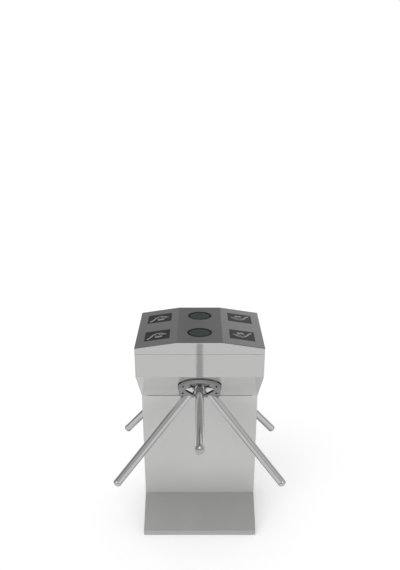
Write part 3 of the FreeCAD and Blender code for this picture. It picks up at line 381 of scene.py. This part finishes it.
# Pieces
def add_piece(name, build, material, body):
    """A mesh piece that rides on a body."""
    shape = bmesh.new()
    build(shape)
    mesh = bpy.data.meshes.new(name)
    bmesh.ops.recalc_face_normals(shape, faces=shape.faces)
    shape.to_mesh(mesh)
    shape.free()
    mesh.materials.append(material)
    piece = bpy.data.objects.new(name, mesh)
    scene.collection.objects.link(piece)
    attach(piece, body)


def rectangle(left, right, low, high):
    """Corners of a flat rectangle."""
    return [(left, low), (right, low), (right, high), (left, high)]


def add_slab(shape, outline, low, high, place):
    """A closed slab over a flat outline, between two heights in a frame."""
    rings = [[shape.verts.new(place @ Vector((x, y, z))) for x, y in outline] for z in (low, high)]
    shape.faces.new(list(reversed(rings[0])))
    shape.faces.new(rings[1])
    count = len(outline)
    for index in range(count):
        after = (index + 1) % count
        shape.faces.new((rings[0][index], rings[0][after], rings[1][after], rings[1][index]))


def add_dome(shape, place, radius, low, start, end, rings, sides):
    """A closed dome about the z axis of a frame, from a collar at one height to its tip."""
    lifts = [math.pi / 2 * step / rings for step in range(rings)]
    profile = [(radius, low)] + [(radius * math.cos(a), start + (end - start) * math.sin(a)) for a in lifts]
    turns = [2 * math.pi * step / sides for step in range(sides)]
    loops = [[shape.verts.new(place @ Vector((r * math.cos(a), r * math.sin(a), z))) for a in turns]
             for r, z in profile]
    tip = shape.verts.new(place @ Vector((0, 0, end)))
    for index in range(sides):
        after = (index + 1) % sides
        for lower, upper in zip(loops, loops[1:]):
            shape.faces.new((lower[index], lower[after], upper[after], upper[index])).smooth = True
        shape.faces.new((loops[-1][index], loops[-1][after], tip)).smooth = True
    shape.faces.new(list(reversed(loops[0])))


def stroke(points, widths):
    """Outline of a line of changing width through points."""
    left, right = [], []
    for index, (point, width) in enumerate(zip(points, widths)):
        before, after = points[max(index - 1, 0)], points[min(index + 1, len(points) - 1)]
        along = (Vector(after) - Vector(before)).normalized()
        side = Vector((-along.y, along.x)) * width / 2
        left.append(tuple(Vector(point) + side))
        right.append(tuple(Vector(point) - side))
    return left + right[::-1]


# An arched hand that holds a card to the reader, in parts of half a window, as (points, widths)
CARD = [(-0.10, -0.54), (0.42, -0.42), (0.36, -0.20), (-0.16, -0.32)]
HAND = [
    ([(-0.78, -0.68), (-0.58, -0.42), (-0.44, -0.14), (-0.32, 0.16), (-0.10, 0.36), (0.20, 0.38),
      (0.44, 0.26), (0.62, 0.10), (0.74, -0.06)],
     (0.16, 0.15, 0.14, 0.13, 0.13, 0.12, 0.10, 0.09, 0.06)),
    ([(0.30, 0.16), (0.44, 0.02), (0.54, -0.12)], (0.09, 0.08, 0.05)),
    ([(0.10, 0.16), (0.22, 0.00), (0.30, -0.12)], (0.09, 0.08, 0.05)),
    ([(-0.24, -0.06), (-0.10, -0.14), (0.04, -0.18)], (0.10, 0.09, 0.05)),
]
PRINT_LOW, PRINT_HIGH = 0.00002, 0.00022


def build_pictogram(place):
    """Flat print of the pictogram in a window's frame."""
    def build(shape):
        add_slab(shape, [(x * WINDOW_HALF, y * WINDOW_HALF) for x, y in CARD], PRINT_LOW, PRINT_HIGH, place)
        for points, widths in HAND:
            outline = stroke([(x * WINDOW_HALF, y * WINDOW_HALF) for x, y in points],
                             [width * WINDOW_HALF for width in widths])
            add_slab(shape, outline, PRINT_LOW, PRINT_HIGH, place)
    return build


# Components under the lid's boards. A chip, a connector or a resistor is (x, y, half width, half depth,
# height), and a can is (x, y). Components below LOW_CHIP have finer corners.
CHIP_SUNK, CHIP_CORNER, LOW_CHIP, LOW_CHIP_CORNER = 0.0002, 0.0007, 0.0014, 0.000175
CAN_RADIUS, CAN_SHOULDER, CAN_HIGH, CAN_RINGS, CAN_SIDES = 0.0042, 0.0075, 0.0086, 4, 20
RESISTOR, RESISTOR_STEP, RESISTOR_COUNT = (0.0017, 0.0009, 0.0008), 0.006, 7


def resistor_row(x, y):
    """A row of resistors along x."""
    return [(x + RESISTOR_STEP * step, y, *RESISTOR) for step in range(RESISTOR_COUNT)]


READER_CHIPS = [(-0.016, 0.012, 0.011, 0.011, 0.0022), (0.016, 0.024, 0.007, 0.0045, 0.0018),
                (0.016, 0.008, 0.007, 0.0045, 0.0018), (0.0, -0.037, 0.015, 0.004, 0.0060),
                *resistor_row(-0.030, -0.014)]
READER_CANS = [(0.031, -0.010), (0.031, -0.021), (-0.033, -0.028)]
INDICATOR_CHIPS = [(0.0, 0.010, 0.008, 0.008, 0.0020), (0.0, -0.022, 0.012, 0.004, 0.0060),
                   *resistor_row(-0.018, -0.008)]
INDICATOR_CANS = [(-0.022, 0.012), (0.022, 0.012)]


def build_parts(place, under, chips, cans):
    """Chips, connectors, resistors and cans on the lower face of a board."""
    def build(shape):
        board = place @ Matrix.Translation((0, 0, under)) @ Matrix.Rotation(math.pi, 4, "X")
        for x, y, wide, deep, high in chips:
            cut = CHIP_CORNER if high > LOW_CHIP else LOW_CHIP_CORNER
            corners = [(wide - cut, -deep), (wide, cut - deep), (wide, deep - cut), (wide - cut, deep)]
            outline = corners + [(-a, -b) for a, b in corners]
            add_slab(shape, [(x + a, y + b) for a, b in outline], -CHIP_SUNK, high, board)
        for x, y in cans:
            add_dome(shape, board @ Matrix.Translation((x, y, 0)), CAN_RADIUS, -CHIP_SUNK, CAN_SHOULDER,
                     CAN_HIGH, CAN_RINGS, CAN_SIDES)
    return build


# Each pair of windows is read from its own side, so the right pair is turned round
for side_name, sign_x in (("left", -1), ("right", 1)):
    for end_name, sign_y in ENDS.items():
        window = (Matrix.Translation((sign_x * WINDOW_X, sign_y * WINDOW_Y, WINDOW_HEIGHT))
                  @ Matrix.Rotation(sign_x * LID_LEAN, 4, "Y"))
        if side_name == "right":
            window = window @ Matrix.Rotation(math.pi, 4, "Z")
        add_piece(f"pictogram_{side_name}_{end_name}", build_pictogram(window), pictogram_print, "lid")
        add_piece(f"reader_parts_{side_name}_{end_name}",
                  build_parts(window, READER_UNDER, READER_CHIPS, READER_CANS),
                  materials["black_housing"], "lid")

for end_name, sign_y in ENDS.items():
    indicator = Matrix.Translation((0, sign_y * WINDOW_Y, 0))
    add_piece(f"indicator_parts_{end_name}",
              build_parts(indicator, INDICATOR_UNDER, INDICATOR_CHIPS, INDICATOR_CANS),
              materials["black_housing"], "lid")

# Covers on the hub's bolts, and set screws on the leaning faces of its clamp blocks
BOLT_SUNK, COVER_RADIUS, COVER_RINGS, COVER_SIDES = 0.0005, 0.0049, 5, 24
COVER_FACE_RISE, COVER_RIM_RISE = 0.0050, 0.0025
SCREW_ALONG, SCREW_Y, SCREW_Z = 0.0344, 0.0116, 0.0365
SCREW_LEAN = math.atan2(BLOCK_RISE, BLOCK_RUN)
# Black strips, painted shade, that fill the slits of the clamp blocks up to the plugs at the rim
STRIP_END, STRIP_STEM, STRIP_LIP = 0.0840, (0.0171, 0.0249), (0.0148, 0.0275)
LIP_SUNK, LIP_PROUD = 0.0004, 0.0006
# Dark arcs on the fascia behind the hub, beside its rim: painted shade in the gap
PAD_INNER, PAD_OUTER, PAD_LOW, PAD_HIGH, PAD_STEPS = 0.0925, 0.1000, 0.00002, 0.0006, 10
PAD_START, PAD_END = math.radians(9), math.radians(35)
# Turns a profile in y and z into one that is drawn out along x
ALONG_X = Matrix(((0, 0, 1, 0), (1, 0, 0, 0), (0, 1, 0, 0), (0, 0, 0, 1)))


def hub_turned(place, angle):
    """Hub frame turned so that its y axis points along an arm."""
    return place @ Matrix.Rotation(-math.radians(angle), 4, "Z")


def build_strips(place):
    """Black strips in the slits of the clamp blocks: painted shade."""
    def build(shape):
        (low, high), (lip_low, lip_high) = STRIP_STEM, STRIP_LIP
        under, over = LOBE_FRONT - LIP_SUNK, LOBE_FRONT + LIP_PROUD
        profile = [(low, SLIT_FLOOR), (high, SLIT_FLOOR), (high, under), (lip_high, under), (lip_high, over),
                   (lip_low, over), (lip_low, under), (low, under)]
        for arm, sign in FIXED_ARMS.items():
            along = hub_turned(place, ARM_ANGLES[arm]) @ Matrix.Translation((sign * SLIT_START, 0, 0))
            add_slab(shape, profile, 0, sign * (STRIP_END - SLIT_START), along @ ALONG_X)
    return build


def build_plugs(place):
    """Metal plugs that close the slits at the rim."""
    def build(shape):
        for arm, sign in FIXED_ARMS.items():
            add_slab(shape, rectangle(sign * STRIP_END, sign * SLIT_END, *STRIP_STEM), SLIT_FLOOR, LOBE_FRONT,
                     hub_turned(place, ARM_ANGLES[arm]))
    return build


def build_gap_shades(place):
    """Dark arcs on the fascia, left and right of the hub: painted shade in the gap."""
    def build(shape):
        turns = [PAD_START + (PAD_END - PAD_START) * step / PAD_STEPS for step in range(PAD_STEPS + 1)]
        arc = [(PAD_OUTER * math.cos(a), PAD_OUTER * math.sin(a)) for a in turns]
        arc += [(PAD_INNER * math.cos(a), PAD_INNER * math.sin(a)) for a in reversed(turns)]
        for sign in (-1, 1):
            add_slab(shape, [(sign * x, y) for x, y in arc], PAD_LOW, PAD_HIGH, place)
    return build


def build_covers(place):
    """Domed black heads on the hub: bolt covers on its face and its rim, and set screws."""
    def build(shape):
        heads = []
        for sign in (-1, 1):
            face = Matrix.Translation((sign * BOLT_X, BOLT_Y, LOBE_FRONT))
            rim = (Matrix.Rotation(-sign * RIM_BOLT_ANGLE, 4, "Z")
                   @ Matrix.Translation((0, HUB_RADIUS, RIM_BOLT_Z)) @ Matrix.Rotation(-math.pi / 2, 4, "X"))
            heads += [(place @ face, COVER_FACE_RISE), (place @ rim, COVER_RIM_RISE)]
        for arm, sign in FIXED_ARMS.items():
            screw = (hub_turned(place, ARM_ANGLES[arm])
                     @ Matrix.Translation((sign * SCREW_ALONG, SCREW_Y, SCREW_Z))
                     @ Matrix.Rotation(SCREW_LEAN, 4, "X"))
            heads.append((screw, COVER_RIM_RISE))
        for head, rise in heads:
            add_dome(shape, head, COVER_RADIUS, -BOLT_SUNK, 0, rise, COVER_RINGS, COVER_SIDES)
    return build


for side, turn in SIDES.items():
    hub, rotor = turn @ HUB_FRAME, f"{side}_rotor"
    add_piece(f"{side}_bolt_covers", build_covers(hub), materials["bolt_steel"], rotor)
    add_piece(f"{side}_slit_strips", build_strips(hub), gap_shade_black, rotor)
    add_piece(f"{side}_slit_plugs", build_plugs(hub), materials["hub_metal"], rotor)
    add_piece(f"{side}_hub_gap_shades", build_gap_shades(hub), gap_shade_black, "cabinet")

# Caps over the ends of the arms; the drop arm's cap is a darker copy of the tube steel, painted shade
CAP_RADIUS, CAP_COLLAR, CAP_TIP, CAP_RINGS, CAP_SIDES = 0.01905, 0.010, 0.631, 10, 48


def arm_place(angle):
    """Frame with its z axis along an arm of the front hub."""
    turn = math.radians(angle)
    along = Vector((math.sin(turn) * math.sin(TILT), math.cos(turn) * math.sin(TILT), math.cos(TILT)))
    apex = HUB_FRAME @ Matrix.Translation((0, 0, -APEX_INSET))
    return apex @ along.to_track_quat("Z", "Y").to_matrix().to_4x4()


def build_cap(place):
    """Domed end cap over the end of an arm tube."""
    def build(shape):
        add_dome(shape, place, CAP_RADIUS, ARM_SHOULDER - CAP_COLLAR, ARM_SHOULDER, CAP_TIP, CAP_RINGS,
                 CAP_SIDES)
    return build


for side, turn in SIDES.items():
    for arm, angle in ARM_ANGLES.items():
        body = f"{side}_drop_arm" if arm == "drop" else f"{side}_rotor"
        # Painted shade: the drop arm's cap gets the darker copy of the tube steel
        cap_material = shaded_cap_steel if arm == "drop" else materials["arm_steel"]
        add_piece(f"{side}_{arm}_arm_cap", build_cap(turn @ arm_place(angle)), cap_material, body)

# Dark line under the head, a painted shadow: half its length, its edges below the column's top, and how far
# it stands out
FOLD_LINE_HALF, FOLD_LINE_LOW, FOLD_LINE_HIGH, FOLD_LINE_PROUD = 0.246, 0.0022, 0.0004, 0.0002


def build_fold_line(place):
    """Dark line between the underside of the head and the column: a painted shadow."""
    def build(shape):
        line = rectangle(-FOLD_LINE_HALF, FOLD_LINE_HALF, COLUMN_TOP - FOLD_LINE_LOW,
                         COLUMN_TOP - FOLD_LINE_HIGH)
        add_slab(shape, line, COLUMN_FACE - FOLD_LINE_PROUD, COLUMN_FACE + FOLD_LINE_PROUD,
                 place @ Matrix.Rotation(math.pi / 2, 4, "X"))
    return build


for side, turn in SIDES.items():
    add_piece(f"{side}_fold_line", build_fold_line(turn), fold_shadow_paint, "cabinet")

KEYWAY_HALF_LONG, KEYWAY_HALF_WIDE, KEYWAY_DEEP, KEYWAY_PROUD = 0.0036, 0.0008, 0.001, 0.00005


def build_keyway(shape):
    """Keyway in the face of the lock plug: a black slab, painted shade where the slot is dark."""
    place = Matrix.Translation(LOCK_FACE) @ Matrix.Rotation(math.pi / 2, 4, "Y")
    slot = rectangle(-KEYWAY_HALF_LONG, KEYWAY_HALF_LONG, -KEYWAY_HALF_WIDE, KEYWAY_HALF_WIDE)
    add_slab(shape, slot, -KEYWAY_DEEP, KEYWAY_PROUD, place)


add_piece("lock_keyway", build_keyway, keyway_shade_black, "lock")


# Floor, light and camera
FLOOR_REACH, FLOOR_ROUGH, FLOOR_GRAIN, FLOOR_TONES = 60.0, 0.9, (0.8, 0.8, 0.8), (0.98, 1.0)
# Painted shade: the floor seen in mirrors is darker; the lift makes it a little lighter to the camera
FLOOR_MIRRORED_SHADE, FLOOR_LIFT = 0.86, 0.08
# A painted shadow makes the mirrored floor darker beside the column: levels from left to right, and how far
# back
PAINTED_SHADOW_ACROSS = ((-0.25, 0.72), (0.25, 0.56))
PAINTED_SHADOW_BACK = ((0.05, 0), (0.15, 1), (0.4, 1), (0.6, 0))


def make_floor():
    """A wide pale floor with a faint mottle, a little lighter to the camera, and darker in mirrors by painted
    shade and a painted shadow beside the column.
    """
    made = Material("floor").set(specular=0.0, roughness=FLOOR_ROUGH)
    dark, light = FLOOR_TONES
    plain = made.ramp(made.noise(FLOOR_GRAIN), (NOISE_LOW, grey(dark)), (NOISE_HIGH, grey(light)))
    path = made.node("ShaderNodeLightPath")
    # Painted shadow on the mirrored floor beside the column, over painted shade in all mirrors
    across = made.greys(made.part_of("Object", "X"), PAINTED_SHADOW_ACROSS)
    back = made.greys(made.part_of("Object", "Y"), PAINTED_SHADOW_BACK)
    mirrored = made.mix(back, (*grey(FLOOR_MIRRORED_SHADE), 1), across)
    dimmed = made.mix(path.outputs["Is Glossy Ray"], plain, made.mix(1.0, plain, mirrored, "MULTIPLY"))
    made.colour(dimmed)
    made.shader.inputs["Emission Color"].default_value = (1, 1, 1, 1)
    made.link(made.math("MULTIPLY", path.outputs["Is Camera Ray"], FLOOR_LIFT),
              made.shader.inputs["Emission Strength"])
    mesh = bpy.data.meshes.new("floor")
    corners = rectangle(-FLOOR_REACH, FLOOR_REACH, -FLOOR_REACH, FLOOR_REACH)
    mesh.from_pydata([(x, y, 0) for x, y in corners], [], [(0, 1, 2, 3)])
    mesh.materials.append(made.data)
    floor = bpy.data.objects.new("floor", mesh)
    scene.collection.objects.link(floor)


# Levels that mirrors see in the studio, from left to right by the sideways part of the direction
FRONT_LOW = ((-1.0, 0.25), (-0.7, 0.58), (-0.2, 0.5), (0.0, 0.45), (0.55, 0.62), (0.7, 0.85), (0.85, 0.5))
FRONT_HIGH = ((-0.35, 0.5), (-0.22, 1.9), (0.14, 1.9), (0.3, 0.5))
BACK_LOW = ((-1.0, 0.25), (-0.3, 0.5), (-0.12, 0.8), (0.0, 0.10), (0.17, 1.8), (0.34, 0.9), (0.8, 0.5))
BACK_HIGH = ((-1.0, 0.25), (-0.4, 0.38), (-0.1, 0.25), (0.0, 0.15), (0.15, 0.42), (0.4, 0.72), (0.8, 0.72))
# Where low panels give way to high ones, by the upward part, and the front to the back, by the depth part
FRONT_RISE, BACK_RISE, FRONT_TO_BACK = (0.54, 0.62), (0.40, 0.46), (-0.3, 0.3)


def make_world(fill):
    """A studio that is white where it is seen, an even fill as light, and soft panels in mirrors."""
    world = bpy.data.worlds.new("studio")
    made = Nodes(world)
    across, depth, height = (made.part_of("Generated", axis) for axis in ("X", "Y", "Z"))
    before = made.mix(made.spread(height, 0, 1, *FRONT_RISE),
                      made.greys(across, FRONT_LOW), made.greys(across, FRONT_HIGH))
    behind = made.mix(made.spread(height, 0, 1, *BACK_RISE),
                      made.greys(across, BACK_LOW), made.greys(across, BACK_HIGH))
    mirrored = made.mix(made.spread(depth, 0, 1, *FRONT_TO_BACK), before, behind)
    path = made.node("ShaderNodeLightPath")
    direct = made.spread(path.outputs["Is Camera Ray"], fill, 1, 0, 1)
    mix = made.node("ShaderNodeMixShader")
    made.link(path.outputs["Is Glossy Ray"], mix.inputs[0])
    for place, level in ((1, direct), (2, mirrored)):
        back = made.node("ShaderNodeBackground")
        back.inputs["Color"].default_value = (1, 1, 1, 1)
        made.link(level, back.inputs["Strength"])
        made.link(back.outputs[0], mix.inputs[place])
    made.link(mix.outputs[0], made.node("ShaderNodeOutputWorld").inputs[0])
    scene.world = world


def add_sun(name, direction, spread, strength):
    """A sun so wide that its shadows are soft."""
    data = bpy.data.lights.new(name, "SUN")
    data.angle = math.radians(spread)
    data.energy = strength
    sun = bpy.data.objects.new(name, data)
    sun.rotation_euler = Vector(direction).to_track_quat("-Z", "Y").to_euler()
    sun.visible_glossy = False
    scene.collection.objects.link(sun)


make_floor()
make_world(fill=0.84)
add_sun("key", direction=(0.5, 1.0, -0.9), spread=60, strength=0.75)

# Camera: lengths in pixels of the photograph's frame, whose row AXIS_ROW the lens's axis meets
PHOTO_HIGH, FOCAL_LENGTH, AXIS_ROW, AXIS_ASIDE = 570, 671.2, 400, 0.33
SENSOR_WIDTH, CAMERA_PLACE, CAMERA_DOWN = 36, (0, -2.8918, 2.0668), 26.466
camera_data = bpy.data.cameras.new("camera")
camera_data.sensor_width = SENSOR_WIDTH
camera_data.lens = FOCAL_LENGTH / PHOTO_HIGH * SENSOR_WIDTH
camera_data.shift_x = AXIS_ASIDE / PHOTO_HIGH
camera_data.shift_y = (AXIS_ROW - PHOTO_HIGH / 2) / PHOTO_HIGH
camera = bpy.data.objects.new("camera", camera_data)
camera.location = CAMERA_PLACE
camera.rotation_euler = (math.radians(90 - CAMERA_DOWN), 0, 0)
scene.collection.objects.link(camera)
scene.camera = camera
scene.view_settings.view_transform = "Standard"
